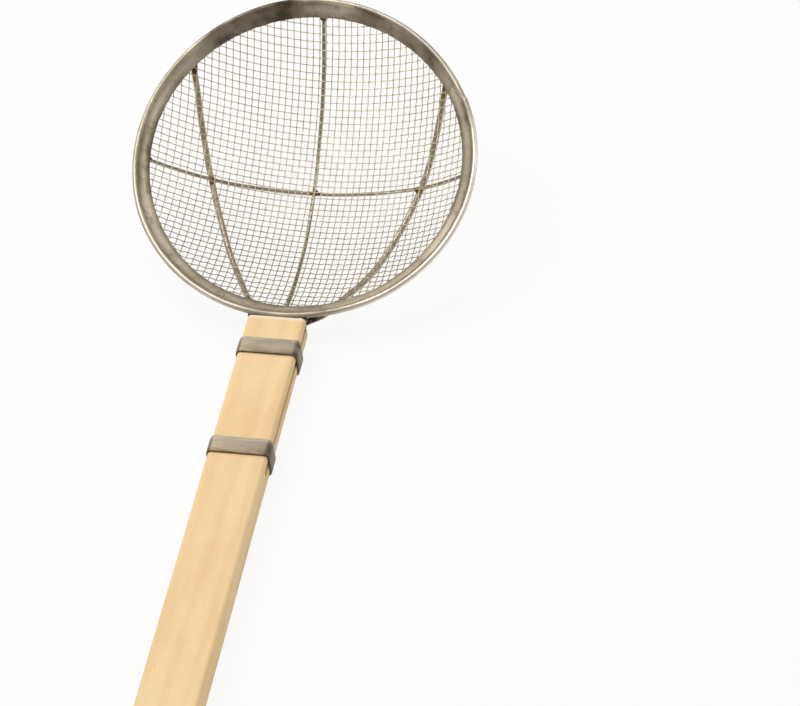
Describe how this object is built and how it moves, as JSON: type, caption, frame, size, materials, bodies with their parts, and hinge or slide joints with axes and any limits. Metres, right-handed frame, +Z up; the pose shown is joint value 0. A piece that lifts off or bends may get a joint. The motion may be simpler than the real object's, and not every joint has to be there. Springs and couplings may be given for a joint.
{
  "type": "long-handled mesh strainer",
  "caption": "Shallow round wire-mesh strainer in a rolled steel rim, braced by wires below, on a long flat wooden handle bound with steel straps.",
  "frame": {"origin": "bottom centre of the part's box, on the surface that it lies on", "axes": "+Y from the handle's butt to the far side of the rim, +Z up out of the bowl's mouth side, +X to the right seen from the butt"},
  "size_m": [0.2, 0.5454, 0.0915],
  "materials": {
    "handle_wood": "bare sanded pale hardwood with a faint straight grain",
    "strap_steel": "satin steel strip with dull cut edges",
    "tang_steel": "bright satin steel plate",
    "rib_steel": "drawn steel wire, satin bright",
    "wire_steel": "thin drawn steel wire, satin, darker at the welds",
    "rim_steel": "folded steel sheet, satin, with a brighter rolled edge",
    "mesh_steel": "woven steel wire cloth, satin"
  },
  "bodies": {
    "root": {"handle": "handle_wood", "front_strap": "strap_steel", "rear_strap": "strap_steel", "tang_plate": "tang_steel", "left_rib": "rib_steel", "right_rib": "rib_steel", "spine_wire": "wire_steel", "cross_wire": "wire_steel", "rim_band": "rim_steel", "rim_wire": "wire_steel", "mesh_bowl": "mesh_steel"}
  },
  "joints": []
}
